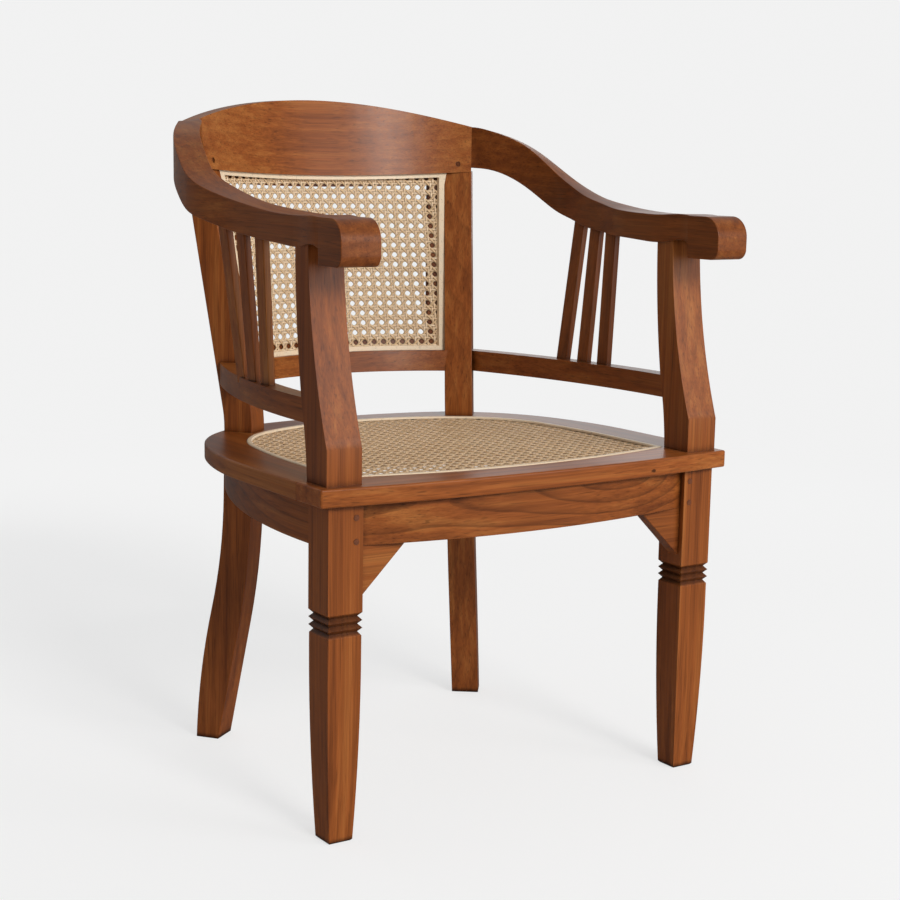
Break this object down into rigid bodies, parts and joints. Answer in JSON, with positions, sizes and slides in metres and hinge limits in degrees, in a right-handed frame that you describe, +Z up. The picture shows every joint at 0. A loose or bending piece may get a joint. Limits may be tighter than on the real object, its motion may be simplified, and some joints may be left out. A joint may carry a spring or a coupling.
{
  "type": "armchair",
  "caption": "Wooden easy chair with woven cane seat and back, curved arms that run round into a bowed crest, grooved square front legs and splayed rear legs.",
  "frame": {"origin": "on the floor, under the middle of the chair's bounding box", "axes": "+Z up, the front of the chair faces -Y, +X is the right side of the picture and the left hand of the person who sits in it"},
  "size_m": [0.6024, 0.6175, 0.871],
  "materials": {
    "wood": "satin, red-brown hardwood with a fine straight grain",
    "cane": "matte, pale woven cane",
    "peg_wood": "satin, dark end grain"
  },
  "bodies": {
    "root": {"front_leg_right": "wood", "front_leg_left": "wood", "rear_leg_right": "wood", "rear_leg_left": "wood", "seat_front_rail": "wood", "seat_back_rail": "wood", "seat_side_rail_right": "wood", "seat_side_rail_left": "wood", "seat_tenons": "wood", "seat_cane": "cane", "seat_spline": "cane", "front_apron": "wood", "side_apron_right": "wood", "side_apron_left": "wood", "back_apron": "wood", "front_bracket_right": "wood", "front_bracket_left": "wood", "arm_post_right": "wood", "arm_post_left": "wood", "side_rail_right": "wood", "side_rail_left": "wood", "arm_slat_right_1": "wood", "arm_slat_right_2": "wood", "arm_slat_right_3": "wood", "arm_slat_left_1": "wood", "arm_slat_left_2": "wood", "arm_slat_left_3": "wood", "arm_right": "wood", "arm_left": "wood", "crest_rail": "wood", "crest_arm_dowels": "wood", "back_lower_rail": "wood", "back_cane": "cane", "back_spline": "cane", "back_ledge": "wood", "leg_pegs": "peg_wood", "crest_pegs": "peg_wood"}
  },
  "joints": []
}
